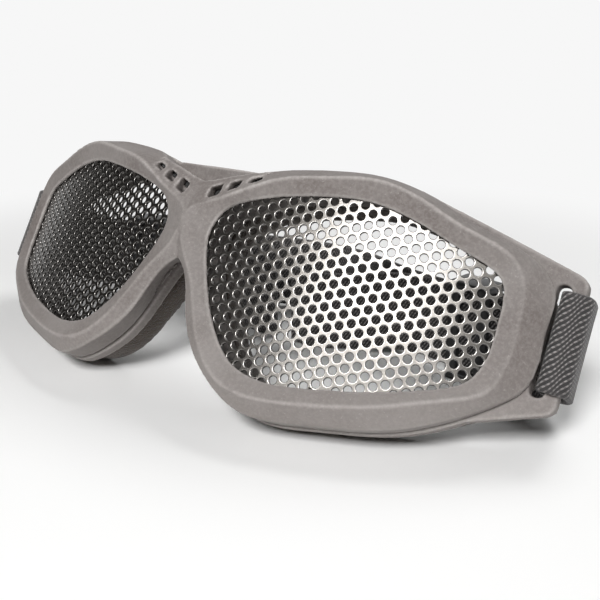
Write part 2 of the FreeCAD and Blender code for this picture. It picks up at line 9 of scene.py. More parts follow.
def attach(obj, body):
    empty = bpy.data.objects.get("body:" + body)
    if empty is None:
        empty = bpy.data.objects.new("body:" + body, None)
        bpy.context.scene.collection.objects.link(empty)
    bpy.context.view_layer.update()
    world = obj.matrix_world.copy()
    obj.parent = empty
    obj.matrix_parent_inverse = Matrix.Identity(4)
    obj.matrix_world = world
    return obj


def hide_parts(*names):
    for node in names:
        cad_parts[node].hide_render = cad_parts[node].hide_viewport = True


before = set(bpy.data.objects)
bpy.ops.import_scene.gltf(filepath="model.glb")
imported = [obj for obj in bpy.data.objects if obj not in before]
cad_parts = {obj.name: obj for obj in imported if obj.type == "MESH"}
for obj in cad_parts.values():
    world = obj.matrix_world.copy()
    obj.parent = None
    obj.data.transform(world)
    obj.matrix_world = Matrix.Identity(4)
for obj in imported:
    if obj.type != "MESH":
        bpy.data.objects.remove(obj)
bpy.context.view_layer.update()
scene = bpy.context.scene

# Sizes in metres, the same as the part's own
mm = 0.001
half_width = 84 * mm
shell_height = 60 * mm
lean = math.radians(31.8)
table_shift = Vector((0, -34.2782 * mm, 26.5518 * mm))

lens_radius = 131.3 * mm
lens_axis_x = 7.5 * mm
lens_tilt = math.radians(1.05)
lens_front = -0.55 * mm
sheet_thickness = 0.8 * mm
hole_radius = 0.95 * mm
hole_pitch = 2.75 * mm
hole_edge_margin = 0.9 * mm
blank_edge_margin = 1.45 * mm
lattice_turn = math.radians(24.3)
lattice_arc = 56.3 * mm
lattice_rise = 15.1 * mm

opening_shares = (
    (0.894, 0.223), (0.892, 0.305), (0.886, 0.380), (0.861, 0.430), (0.763, 0.480),
    (0.652, 0.532), (0.524, 0.562), (0.386, 0.540), (0.255, 0.500), (0.173, 0.463),
    (0.123, 0.425), (0.096, 0.375), (0.085, 0.320), (0.090, 0.262), (0.107, 0.195),
    (0.132, 0.117), (0.179, -0.002), (0.239, -0.105), (0.307, -0.170), (0.390, -0.190),
    (0.507, -0.167), (0.668, -0.107), (0.804, -0.030), (0.869, 0.038), (0.892, 0.132),
)
opening = [(x * half_width, z * shell_height) for x, z in opening_shares]

face_radius = 202 * mm
face_start = 7 * mm
seam_gap = 0.4 * mm
plate_thickness = 3.3 * mm
wing_half_width = 89.1 * mm
bar_width = 2.9 * mm

vent_x = 10.3 * mm
vent_z = 31 * mm

strap_width = 22.6 * mm
strap_thickness = 1.6 * mm
strap_bar_gap = 0.35 * mm
strap_wrap_share = 0.6
strap_centre_z = 15.65 * mm
layer_gap = 0.3 * mm
drop_run = 23.5 * mm
slide_run = 31 * mm
slide_turn = math.radians(78)
loop_rise = 18.5 * mm
loop_bow_share = 1.15
tail_dip = 7 * mm
tail_gap = 6 * mm
tail_flat = 5 * mm
slider_wall = 2 * mm
slider_clearance = 0.35 * mm
slider_floor_gap = 0.5 * mm
stitch_inset = 2 * mm


# Upright goggles to the table

lean_turn = Matrix.Rotation(-lean, 4, "X")
to_table = Matrix.Translation(table_shift) @ lean_turn
lens_to_table = to_table @ Matrix.Rotation(-lens_tilt, 4, "Y")


def leaned(point):
    return lean_turn @ point


# Camera

def make_camera():
    """The photograph's own viewpoint, solved from the rows of holes in the lenses."""
    camera = bpy.data.objects.new("camera", bpy.data.cameras.new("camera"))
    scene.collection.objects.link(camera)
    right = Vector((0.8168098370875531, 0.5769063949051197, -0.0008375885528128829))
    up = Vector((-0.19609383176968792, 0.279003235110726, 0.9400555323700995))
    back = Vector((0.5425577381061734, -0.7676823602997059, 0.3410203725670739))
    place = Vector((137.2771, -137.0606, 69.5190)) * mm + table_shift
    camera.matrix_world = Matrix((
        (right.x, up.x, back.x, place.x),
        (right.y, up.y, back.y, place.y),
        (right.z, up.z, back.z, place.z),
        (0, 0, 0, 1),
    ))
    camera.data.sensor_width = 36
    camera.data.lens = 50.5525
    camera.data.clip_start = 0.005
    scene.camera = camera


make_camera()


# Materials

class Wire:
    """A shader value. Python's operators on it add Math nodes."""

    def __init__(self, finish, socket):
        self.finish = finish
        self.socket = socket

    def __add__(self, other):
        return self.finish.maths("ADD", self, other)

    __radd__ = __add__

    def __mul__(self, other):
        return self.finish.maths("MULTIPLY", self, other)

    __rmul__ = __mul__

    def __sub__(self, other):
        return self.finish.maths("SUBTRACT", self, other)

    def __rsub__(self, other):
        return self.finish.maths("SUBTRACT", other, self)

    def __truediv__(self, other):
        return self.finish.maths("DIVIDE", self, other)


class Finish:
    """One material: a Principled surface and the nodes that vary it."""

    def __init__(self, name, **plain):
        self.material = bpy.data.materials.new(name)
        self.material.use_nodes = True
        self.tree = self.material.node_tree
        self.surface = self.tree.nodes["Principled BSDF"]
        for socket, value in plain.items():
            self.surface.inputs[socket.replace("_", " ")].default_value = value

    def node(self, kind, settings, sockets, out=0):
        made = self.tree.nodes.new("ShaderNode" + kind)
        for name, value in settings.items():
            setattr(made, name, value)
        for name, value in sockets.items():
            self.feed(made.inputs[name], value)
        return Wire(self, made.outputs[out])

    def feed(self, socket, value):
        if isinstance(value, Wire):
            self.tree.links.new(value.socket, socket)
        elif isinstance(value, tuple) and len(value) == 3 and socket.type == "RGBA":
            socket.default_value = (*value, 1)
        else:
            socket.default_value = value

    def maths(self, operation, *values):
        return self.node("Math", {"operation": operation}, dict(enumerate(values)))

    def place(self):
        return self.node("TexCoord", {}, {}, "Object")

    def attribute(self, name):
        return self.node("Attribute", {"attribute_name": name}, {}, "Fac")

    def grain(self, scale, detail=2.0, roughness=0.5):
        """Soft noise from 0 to 1; scale is in features to the metre."""
        sockets = {"Vector": self.place(), "Scale": scale, "Detail": detail, "Roughness": roughness}
        return self.node("TexNoise", {}, sockets, "Fac")

    def cells(self, scale):
        """Distance to the nearest of scattered points."""
        return self.node("TexVoronoi", {}, {"Vector": self.place(), "Scale": scale}, "Distance")

    def band(self, value, low, high):
        """0 below low, 1 above high, smooth between."""
        sockets = {"Value": value, "From Min": low, "From Max": high}
        return self.node("MapRange", {"interpolation_type": "SMOOTHSTEP"}, sockets)

    def blend(self, factor, first, second):
        made = self.tree.nodes.new("ShaderNodeMix")
        made.data_type = "RGBA"
        self.feed(made.inputs[0], factor)
        self.feed(made.inputs[6], first)
        self.feed(made.inputs[7], second)
        return Wire(self, made.outputs[2])

    def bump(self, height, distance, strength=1.0):
        sockets = {"Height": height, "Distance": distance, "Strength": strength}
        return self.node("Bump", {}, sockets, "Normal")

    def vary(self, **sockets):
        for name, value in sockets.items():
            self.feed(self.surface.inputs[name.replace("_", " ")], value)
        return self.material


def toned(colour, level):
    return tuple(part * level for part in colour)


def make_rubber(tone, dust, pale, fleck):
    """Charcoal rubber with a dusty bloom and cloudy marks, paled low down by painted light from the white
    floor below, darkened in its hollows by painted shade, and with pale corners that are partly wear and
    partly a painted highlight.
    """
    finish = Finish("frame_rubber", IOR=1.48, Specular_IOR_Level=0.25)
    cloud = finish.grain(45, 4.0, 0.6)
    fine = finish.grain(1150, 3.0, 0.7)
    speck = finish.band(finish.grain(2100, 1.0), 0.66, 0.78)
    worn = finish.attribute("worn")
    hollow = finish.attribute("hollow")
    base = finish.blend(finish.band(cloud, 0.3, 0.75), tone, dust)
    base = finish.blend(finish.band(fine, 0.35, 0.7) * 0.45, base, toned(dust, 1.3))
    # Painted light from the white floor below: up to 8 mm high the rubber is paled 40% of the way to a
    # light dust tone, fading out by 34 mm.
    height = finish.node("SeparateXYZ", {}, {0: finish.place()}, "Z")
    painted_floor_bounce = 1 - finish.band(height, 8 * mm, 34 * mm)
    base = finish.blend(painted_floor_bounce * 0.4, base, toned(dust, 1.35))
    # Painted shade: hollows and creases are darkened towards a fifth of the rubber's tone.
    base = finish.blend(hollow * 0.8, base, toned(tone, 0.22))
    # Proud corners are paled: partly wear, partly a painted highlight.
    base = finish.blend(worn * (0.4 + 0.6 * fine), base, pale)
    base = finish.blend(speck * 0.35, base, fleck)
    rough = 0.5 + 0.22 * fine + 0.06 * cloud
    skin = finish.grain(240, 3.0, 0.65) + 0.35 * finish.grain(1400, 2.0)
    return finish.vary(Base_Color=base, Roughness=rough, Normal=finish.bump(skin, 0.22 * mm, 0.6))


def make_lens_steel():
    """Rolled sheet steel with a thin dark coat, paler round the hole rims with a painted highlight."""
    finish = Finish("lens_steel", Metallic=0.9, IOR=1.6, Coat_Weight=0.35, Coat_Roughness=0.22)
    cloud = finish.grain(70, 3.0, 0.6)
    fine = finish.grain(900, 2.0, 0.6)
    rim = finish.attribute("rim")
    base = finish.blend(finish.band(cloud, 0.35, 0.7), (0.052, 0.048, 0.043), (0.078, 0.072, 0.066))
    # Painted highlight: the hole rims are paled towards a light grey, most on the front rim.
    base = finish.blend(rim * 0.7, base, (0.23, 0.22, 0.21))
    rough = 0.24 + 0.12 * fine - 0.04 * rim
    return finish.vary(Base_Color=base, Roughness=rough, Normal=finish.bump(fine, 0.03 * mm, 0.4))


def make_seal_rubber():
    """Plain black rubber of the lens gaskets."""
    finish = Finish("seal_rubber", Roughness=0.6)
    fine = finish.grain(700, 2.0)
    base = finish.blend(fine, (0.022, 0.02, 0.019), (0.04, 0.037, 0.035))
    return finish.vary(Base_Color=base, Normal=finish.bump(fine, 0.1 * mm, 0.5))


def make_foam(name, dark, light, pore):
    """Open-cell foam: round pores with painted shade in them and soft lighter walls."""
    finish = Finish(name, Roughness=0.95, Sheen_Weight=0.25, Sheen_Roughness=0.5)
    holes = finish.cells(pore)
    small = finish.cells(pore * 2.1)
    cloud = finish.grain(60, 3.0)
    wall = finish.band(holes, 0.12, 0.5)
    # Painted shade: the pores are darkened to 0.45 of the foam's colour, and the walls keep it.
    base = finish.blend(wall, toned(dark, 0.45), dark)
    base = finish.blend(finish.band(cloud, 0.35, 0.75) * 0.6, base, light)
    return finish.vary(Base_Color=base, Normal=finish.bump(wall + 0.5 * small, 0.35 * mm, 0.8))


def make_webbing():
    """Black elastic twill: raised dashes in rows that climb across the strap. Its map is in mm."""
    finish = Finish("strap_webbing", Roughness=0.78, Sheen_Weight=0.2)
    row_pitch = 0.84
    dash_pitch = 1.02
    dash_shift = 0.53
    run, climb = 0.82, 0.57
    uv = finish.node("UVMap", {}, {})
    across = finish.node("SeparateXYZ", {}, {0: uv}, "X")
    along = finish.node("SeparateXYZ", {}, {0: uv}, "Y")
    row = along * run + across * climb
    wave = finish.maths("SINE", row * (2 * math.pi / row_pitch))
    step = finish.maths("FLOOR", row / row_pitch + 0.25)
    dash_run = across * run - along * climb + step * dash_shift
    dash = finish.maths("SINE", dash_run * (2 * math.pi / dash_pitch))
    ridge = finish.band(wave, 0.05, 0.9)
    thread = ridge * (0.35 + 0.65 * finish.band(dash, -0.6, 0.5))
    fuzz = finish.grain(2600, 2.0, 0.7)
    half_strap = strap_width / mm / 2
    edge = finish.band(finish.maths("ABSOLUTE", across), half_strap - 1.7, half_strap - 0.1)
    base = finish.blend(thread * (0.15 + 1.3 * fuzz), (0.009, 0.0075, 0.0075), (0.37, 0.34, 0.33))
    base = finish.blend(edge * 0.6, base, (0.03, 0.026, 0.026))
    height = thread + 0.25 * fuzz
    return finish.vary(Base_Color=base, Normal=finish.bump(height, 0.5 * mm, 0.9))


def make_slider_plastic():
    """Black moulded plastic with a fine spark grain."""
    finish = Finish("slider_plastic")
    grain = finish.grain(1900, 2.0, 0.6)
    cloud = finish.grain(80, 2.0)
    base = finish.blend(cloud, (0.018, 0.018, 0.019), (0.03, 0.03, 0.031))
    rough = 0.36 + 0.2 * grain
    return finish.vary(Base_Color=base, Roughness=rough, Normal=finish.bump(grain, 0.06 * mm, 0.7))


def make_thread():
    """Black twisted thread."""
    finish = Finish("stitch_thread", Roughness=0.7)
    twist = finish.grain(2400, 2.0)
    base = finish.blend(twist, (0.02, 0.018, 0.018), (0.07, 0.065, 0.063))
    return finish.vary(Base_Color=base, Normal=finish.bump(twist, 0.1 * mm, 0.6))


rubber = make_rubber(
    (0.135, 0.116, 0.108), (0.218, 0.2, 0.19), pale=(0.47, 0.44, 0.42), fleck=(0.4, 0.375, 0.36)
)
steel = make_lens_steel()
seal_rubber = make_seal_rubber()
pad_foam = make_foam("face_foam", (0.06, 0.046, 0.036), (0.1, 0.078, 0.062), 1500)
filter_foam = make_foam("vent_foam", (0.018, 0.017, 0.017), (0.03, 0.028, 0.027), 1100)
webbing = make_webbing()
slider_plastic = make_slider_plastic()
thread = make_thread()


# Mesh helpers

def add_piece(name, mesh, body, material, node):
    """A finished mesh as a piece of the object, in place of a frame node."""
    piece = bpy.data.objects.new(name, mesh)
    scene.collection.objects.link(piece)
    mesh.materials.clear()
    mesh.materials.append(material)
    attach(piece, body)
    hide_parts(node)
    return piece


def merged_copy(node):
    """A copy of a frame node's mesh with its loose triangles joined."""
    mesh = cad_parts[node].data.copy()
    form = bmesh.new()
    form.from_mesh(mesh)
    bmesh.ops.remove_doubles(form, verts=form.verts, dist=0.002 * mm)
    form.to_mesh(mesh)
    form.free()
    return mesh


def through_modifiers(mesh, *modifiers):
    """The mesh after a row of (type, settings) modifiers."""
    holder = bpy.data.objects.new("holder", mesh)
    scene.collection.objects.link(holder)
    for kind, settings in modifiers:
        modifier = holder.modifiers.new(kind.lower(), kind)
        for name, value in settings.items():
            setattr(modifier, name, value)
    evaluated = holder.evaluated_get(bpy.context.evaluated_depsgraph_get())
    result = bpy.data.meshes.new_from_object(evaluated)
    bpy.data.objects.remove(holder)
    return result


def mirrored(mesh):
    """The mesh's mirror image on the other side of the goggles."""
    other = mesh.copy()
    other.transform(Matrix.Scale(-1, 4, (1, 0, 0)))
    other.flip_normals()
    return other


def smooth_shade(mesh):
    mesh.polygons.foreach_set("use_smooth", [True] * len(mesh.polygons))
    mesh.update()


def mesh_arrays(mesh):
    """Places, normals and edges as arrays."""
    count = len(mesh.vertices)
    places = np.empty(count * 3)
    mesh.vertices.foreach_get("co", places)
    normals = np.empty(count * 3)
    mesh.vertices.foreach_get("normal", normals)
    edges = np.empty(len(mesh.edges) * 2, dtype=int)
    mesh.edges.foreach_get("vertices", edges)
    return places.reshape(-1, 3), normals.reshape(-1, 3), edges.reshape(-1, 2)


def spread(values, edges, rounds):
    """Averages a value with its neighbours' a few times."""
    degree = np.bincount(edges.ravel(), minlength=len(values)).astype(float)
    degree[degree == 0] = 1
    for _ in range(rounds):
        total = np.zeros_like(values)
        np.add.at(total, edges[:, 0], values[edges[:, 1]])
        np.add.at(total, edges[:, 1], values[edges[:, 0]])
        values = total / (degree[:, None] if values.ndim > 1 else degree)
    return values


def mark_corners(mesh):
    """Stores how far each place stands proud of, or below, the surface round it, from 0 to 1."""
    least = 0.035
    fade = 0.09
    places, normals, edges = mesh_arrays(mesh)
    around = spread(places, edges, 3)
    proud = np.einsum("ij,ij->i", places - around, normals)
    proud = spread(proud, edges, 1) / mm
    # These levels give the rubber its wear and painted highlight on proud corners, and its painted shade
    # in hollows.
    for name, values in (("worn", proud), ("hollow", -proud)):
        level = np.clip((values - least) / fade, 0, 1)
        layer = mesh.attributes.new(name, "FLOAT", "POINT")
        layer.data.foreach_set("value", level.astype(np.float32))


def near_vents(places):
    """1 beside the brow vents, 0 away from them."""
    reach = 12.5 * mm
    fade = 2 * mm
    middle = to_table @ Vector((vent_x, 0, vent_z))
    gap = np.hypot(np.abs(places[:, 0]) - middle.x, places[:, 2] - middle.z)
    return np.clip((reach - gap) / fade, 0, 1)


def moulded(node, voxel):
    """A node's form with small rounds on its corners, as rubber leaves the mould, but crisp vents."""
    mesh = through_modifiers(merged_copy(node), ("REMESH", {"mode": "VOXEL", "voxel_size": voxel}))
    places, _, edges = mesh_arrays(mesh)
    share = 0.5 - 0.44 * near_vents(places)[:, None]
    for _ in range(3):
        places = places + (spread(places, edges, 1) - places) * share
    mesh.vertices.foreach_set("co", places.ravel())
    smooth_shade(mesh)
    return mesh


# Rubber frames

def make_frames():
    for node, voxel in (("front_frame", 0.43 * mm), ("rear_frame", 0.46 * mm)):
        mesh = moulded(node, voxel)
        mark_corners(mesh)
        add_piece(node + "_rubber", mesh, "goggles", rubber, node)


make_frames()


# Lenses: one tile of sheet round each hole, laid on the lattice and rolled to the lens's curve

def sheet_tile(name, pierced):
    """A six-sided tile of sheet, front face at height 0, with a rounded rim round its hole."""
    sides = 24
    rim = 0.16 * mm
    back_rim = 0.1 * mm
    collar = 0.12 * mm
    apothem = hole_pitch / 2
    rings = []
    if pierced:
        rings.append([(hole_radius + rim + collar, 0, 0)] * sides)
        for share in (0, 0.35, 0.7, 1):
            angle = share * math.pi / 2
            height = -rim * (1 - math.cos(angle))
            rings.append([(hole_radius + rim * (1 - math.sin(angle)), height, 1)] * sides)
        for share in (1, 0.5, 0):
            angle = share * math.pi / 2
            height = -sheet_thickness + back_rim * (1 - math.cos(angle))
            rings.append([(hole_radius + back_rim * (1 - math.sin(angle)), height, 0.3)] * sides)
    form = bmesh.new()
    # Each ring carries its share of the painted highlight: 1 on the front rim, 0.3 on the back rim, 0
    # elsewhere.
    painted_highlight_layer = form.verts.layers.float.new("rim")

    def corner(step):
        angle = lattice_turn + 2 * math.pi * step / sides
        turn = (2 * math.pi * step / sides + math.pi / 6) % (math.pi / 3) - math.pi / 6
        return angle, apothem / math.cos(turn)

    def ring_of(values):
        made = []
        for step, (radius, height, painted_highlight_share) in enumerate(values):
            angle = corner(step)[0]
            vert = form.verts.new((radius * math.cos(angle), radius * math.sin(angle), height))
            vert[painted_highlight_layer] = painted_highlight_share
            made.append(vert)
        return made

    border = [corner(step)[1] for step in range(sides)]
    loops = [ring_of([(radius, 0, 0) for radius in border])]
    loops += [ring_of(values) for values in rings]
    loops.append(ring_of([(radius, -sheet_thickness, 0) for radius in border]))
    if pierced:
        for first, second in zip(loops, loops[1:]):
            for step in range(sides):
                after = (step + 1) % sides
                form.faces.new((first[step], first[after], second[after], second[step]))
    else:
        form.faces.new(loops[0])
        form.faces.new(list(reversed(loops[1])))
    mesh = bpy.data.meshes.new(name)
    form.to_mesh(mesh)
    form.free()
    tile = bpy.data.objects.new(name, mesh)
    scene.collection.objects.link(tile)
    return tile


def inside(points, x, z):
    """Whether a place lies within an outline."""
    crossings = 0
    for index, (ax, az) in enumerate(points):
        bx, bz = points[(index + 1) % len(points)]
        if (az > z) != (bz > z) and x < ax + (z - az) * (bx - ax) / (bz - az):
            crossings += 1
    return crossings % 2 == 1


def offset_outline(points, distance):
    """The outline moved outwards by a distance."""
    moved = []
    for index, (x, z) in enumerate(points):
        before = points[index - 1]
        after = points[(index + 1) % len(points)]
        run_x = after[0] - before[0]
        run_z = after[1] - before[1]
        run = math.hypot(run_x, run_z)
        moved.append((x + run_z / run * distance, z - run_x / run * distance))
    return moved


def lattice_points():
    """Places of the tiles as (arc, rise, pierced)."""
    holes = offset_outline(opening, hole_edge_margin)
    blanks = offset_outline(opening, blank_edge_margin)
    reach = int(2 * half_width / hole_pitch)
    places = []
    for i in range(-reach, reach):
        for j in range(-reach, reach):
            turn = lattice_turn
            arc = lattice_arc + hole_pitch * (i * math.cos(turn) + j * math.cos(turn - math.pi / 3))
            rise = lattice_rise + hole_pitch * (i * math.sin(turn) + j * math.sin(turn - math.pi / 3))
            if abs(arc) > lens_radius * math.pi / 4:
                continue
            across = lens_axis_x + lens_radius * math.sin(arc / lens_radius)
            x = across * math.cos(lens_tilt) - rise * math.sin(lens_tilt)
            z = across * math.sin(lens_tilt) + rise * math.cos(lens_tilt)
            if inside(holes, x, z):
                places.append((arc, rise, True))
            elif inside(blanks, x, z):
                places.append((arc, rise, False))
    return places


class Growth:
    """A geometry node tree with named inputs, built a node at a time."""

    def __init__(self, name, inputs):
        self.tree = bpy.data.node_groups.new(name, "GeometryNodeTree")
        self.tree.interface.new_socket("Geometry", in_out="INPUT", socket_type="NodeSocketGeometry")
        for label, kind in inputs:
            self.tree.interface.new_socket(label, in_out="INPUT", socket_type="NodeSocket" + kind)
        self.tree.interface.new_socket("Geometry", in_out="OUTPUT", socket_type="NodeSocketGeometry")
        self.start = self.tree.nodes.new("NodeGroupInput")

    def given(self, label):
        return self.start.outputs[label]

    def add(self, kind, settings, sockets, out=0):
        node = self.tree.nodes.new(kind)
        for name, value in settings.items():
            setattr(node, name, value)
        for name, value in sockets.items():
            for part in value if isinstance(value, list) else [value]:
                if isinstance(part, bpy.types.NodeSocket):
                    self.tree.links.new(part, node.inputs[name])
                else:
                    node.inputs[name].default_value = part
        return node.outputs[out]

    def maths(self, operation, *values):
        return self.add("ShaderNodeMath", {"operation": operation}, dict(enumerate(values)))

    def close(self, geometry, material):
        realized = self.add("GeometryNodeRealizeInstances", {}, {0: geometry})
        finished = self.add("GeometryNodeSetMaterial", {}, {"Geometry": realized, "Material": material})
        end = self.tree.nodes.new("NodeGroupOutput")
        self.tree.links.new(finished, end.inputs[0])

    def grow(self, mesh, **values):
        """The plain mesh that the tree makes from a mesh."""
        holder = bpy.data.objects.new("holder", mesh)
        scene.collection.objects.link(holder)
        modifier = holder.modifiers.new("growth", "NODES")
        modifier.node_group = self.tree
        for item in self.tree.interface.items_tree:
            label = item.name.replace(" ", "_")
            if item.in_out == "INPUT" and label in values:
                modifier[item.identifier] = values[label]
        evaluated = holder.evaluated_get(bpy.context.evaluated_depsgraph_get())
        result = bpy.data.meshes.new_from_object(evaluated)
        bpy.data.objects.remove(holder)
        return result


def perforated_sheet_tree(pierced_tile, blank_tile):
    """Tiles on points, joined edge to edge and rolled round the lens's axis."""
    inputs = (("Roll radius", "Float"), ("Axis offset", "Float"), ("Depth", "Float"))
    growth = Growth("perforated_sheet", inputs)
    points = growth.given("Geometry")
    named = {"data_type": "BOOLEAN"}
    is_hole = growth.add("GeometryNodeInputNamedAttribute", named, {"Name": "pierced"})
    is_blank = growth.add("FunctionNodeBooleanMath", {"operation": "NOT"}, {0: is_hole})
    laid = []
    for tile, chosen in ((pierced_tile, is_hole), (blank_tile, is_blank)):
        shape = growth.add("GeometryNodeObjectInfo", {}, {"Object": tile}, "Geometry")
        sockets = {"Points": points, "Selection": chosen, "Instance": shape}
        laid.append(growth.add("GeometryNodeInstanceOnPoints", {}, sockets))
    joined = growth.add("GeometryNodeJoinGeometry", {}, {0: laid})
    flat = growth.add("GeometryNodeRealizeInstances", {}, {0: joined})
    flat = growth.add("GeometryNodeMergeByDistance", {}, {"Geometry": flat, "Distance": 0.005 * mm})
    place = growth.add("GeometryNodeInputPosition", {}, {})
    split = growth.add("ShaderNodeSeparateXYZ", {}, {0: place}).node.outputs
    radius = growth.given("Roll radius")
    height = growth.maths("ADD", split[2], growth.given("Depth"))
    reach = growth.maths("ADD", radius, height)
    angle = growth.maths("DIVIDE", split[0], radius)
    sideways = growth.maths("MULTIPLY", reach, growth.maths("SINE", angle))
    forward = growth.maths("MULTIPLY", reach, growth.maths("COSINE", angle))
    x = growth.maths("ADD", growth.given("Axis offset"), sideways)
    y = growth.maths("SUBTRACT", radius, forward)
    rolled = growth.add("ShaderNodeCombineXYZ", {}, {0: x, 1: y, 2: split[1]})
    bent = growth.add("GeometryNodeSetPosition", {}, {"Geometry": flat, "Position": rolled})
    growth.close(bent, steel)
    return growth


def closed_border(mesh):
    """Joins the front and back edges of a sheet all round."""
    form = bmesh.new()
    form.from_mesh(mesh)
    rim = [edge for edge in form.edges if edge.is_boundary]
    bmesh.ops.bridge_loops(form, edges=rim)
    bmesh.ops.triangulate(form, faces=[face for face in form.faces if len(face.verts) > 6])
    bmesh.ops.recalc_face_normals(form, faces=form.faces)
    form.to_mesh(mesh)
    form.free()


def make_lenses():
    pierced_tile = sheet_tile("pierced_tile", True)
    blank_tile = sheet_tile("blank_tile", False)
    places = lattice_points()
    dots = bpy.data.meshes.new("lattice")
    dots.from_pydata([(arc, rise, 0) for arc, rise, pierced in places], [], [])
    layer = dots.attributes.new("pierced", "BOOLEAN", "POINT")
    layer.data.foreach_set("value", [pierced for arc, rise, pierced in places])
    growth = perforated_sheet_tree(pierced_tile, blank_tile)
    left = growth.grow(dots, Roll_radius=lens_radius, Axis_offset=lens_axis_x, Depth=lens_front)
    closed_border(left)
    left.transform(lens_to_table)
    smooth_shade(left)
    for side, sheet in (("left", left), ("right", mirrored(left))):
        add_piece(f"lens_{side}_sheet", sheet, "goggles", steel, "lens_" + side)
    bpy.data.objects.remove(pierced_tile)
    bpy.data.objects.remove(blank_tile)


make_lenses()


# Face foam and vent filters

def make_face_pad():
    """The face foam with a slightly uneven skin, flat where it rests on the table."""
    mesh = through_modifiers(
        merged_copy("face_foam"),
        ("REMESH", {"mode": "VOXEL", "voxel_size": 1.0 * mm}),
        ("SMOOTH", {"factor": 0.5, "iterations": 6}),
    )
    floor = 0.02 * mm
    sink = 0.1
    for vert in mesh.vertices:
        push = noise.noise(vert.co * 90) * 0.25 + noise.noise(vert.co * 330) * 0.12
        vert.co += vert.normal * (push - sink) * mm
        vert.co.z = max(vert.co.z, floor)
    smooth_shade(mesh)
    pad = add_piece("face_pad", mesh, "goggles", pad_foam, "face_foam")


def make_vent_filters():
    """Open foam behind the vents, pitted all over."""
    for side in ("left", "right"):
        node = "vent_filter_" + side
        mesh = through_modifiers(
            merged_copy(node),
            ("REMESH", {"mode": "VOXEL", "voxel_size": 0.25 * mm}),
            ("SMOOTH", {"factor": 0.5, "iterations": 2}),
        )
        for vert in mesh.vertices:
            vert.co -= vert.normal * abs(noise.noise(vert.co * 1500)) * 0.25 * mm
        smooth_shade(mesh)
        pad = add_piece(node + "_pad", mesh, "goggles", filter_foam, node)


make_face_pad()
make_vent_filters()


# Strap

def face_y(x, depth):
    """How far back the rear frame's plate lies at a place across, at a depth in it."""
    radius = face_radius - depth
    return face_start + face_radius - math.sqrt(radius ** 2 - x ** 2)


def bar_point(x, depth):
    return Vector((x, face_y(x, seam_gap / 2 + depth), strap_centre_z))


def bar_turn():
    """Places round the strap bar, outer side to inner, with the outward direction at each."""
    outer_x = wing_half_width
    inner_x = wing_half_width - bar_width
    slope = math.asin((outer_x - bar_width / 2) / face_radius)
    front = slope - math.pi / 2
    wrap_end = plate_thickness * strap_wrap_share
    places = [(bar_point(outer_x, wrap_end), 0)]
    for share in (0, 0.5, 1):
        places.append((bar_point(outer_x, 0), front * share))
    for share in (0, 0.4, 0.7, 1):
        places.append((bar_point(inner_x, 0), front + (-math.pi - front) * share))
    places.append((bar_point(inner_x, wrap_end), -math.pi))
    return [(place, Vector((math.cos(angle), math.sin(angle), 0))) for place, angle in places]


slide_way = Vector((-math.sin(slide_turn), math.cos(slide_turn), 0))
slide_out = Vector((math.cos(slide_turn), math.sin(slide_turn), 0))
table_floor = -table_shift.z
upright = Vector((0, 0, 1))
backward = Vector((0, 1, 0))
across = Vector((-1, 0, 0))
half_layers = (strap_thickness + layer_gap) / 2
at_slider = table_floor + slider_floor_gap + slider_wall + slider_clearance + strap_width / 2
at_back = table_floor + strap_width / 2


def smooth_step(t):
    return t * t * (3 - 2 * t)


def bend(start, start_way, end, end_way, reach, count):
    """Places, with the way on at each, along a smooth bend from one direction into another."""
    steps = []
    for step in range(count + 1):
        t = step / count
        place = (
            start * (2 * t ** 3 - 3 * t ** 2 + 1)
            + start_way * (reach * (t ** 3 - 2 * t ** 2 + t))
            + end * (3 * t ** 2 - 2 * t ** 3)
            + end_way * (reach * (t ** 3 - t ** 2))
        )
        way = (
            (end - start) * (6 * t - 6 * t ** 2)
            + start_way * (reach * (3 * t ** 2 - 4 * t + 1))
            + end_way * (reach * (3 * t ** 2 - 2 * t))
        )
        steps.append((place, way.normalized()))
    return steps


def slide_foot():
    """Where the straight doubled run of the strap begins."""
    start = leaned(bar_point(wing_half_width - bar_width / 2, plate_thickness))
    foot = start + (leaned(backward) + slide_way).normalized() * drop_run
    foot.z = at_slider
    return start, foot


def drop_stations(count):
    """From behind the bar down to the straight run, as (middle, up, outward)."""
    start, foot = slide_foot()
    up_start = leaned(upright)
    stations = []
    for index, (place, way) in enumerate(bend(start, leaned(backward), foot, slide_way, drop_run, count)):
        t = smooth_step(index / count)
        outward = way.cross(up_start * (1 - t) + upright * t).normalized()
        stations.append((place, outward.cross(way).normalized(), outward))
    return stations


def run_end(side):
    """Where the straight run ends, on the outer layer (1) or the inner one (-1)."""
    return slide_foot()[1] + slide_way * slide_run + slide_out * (side * half_layers)


def tail_end():
    """The middle of the left tail's cut end."""
    return Vector((tail_gap / 2, run_end(-1).y - tail_dip, at_back))


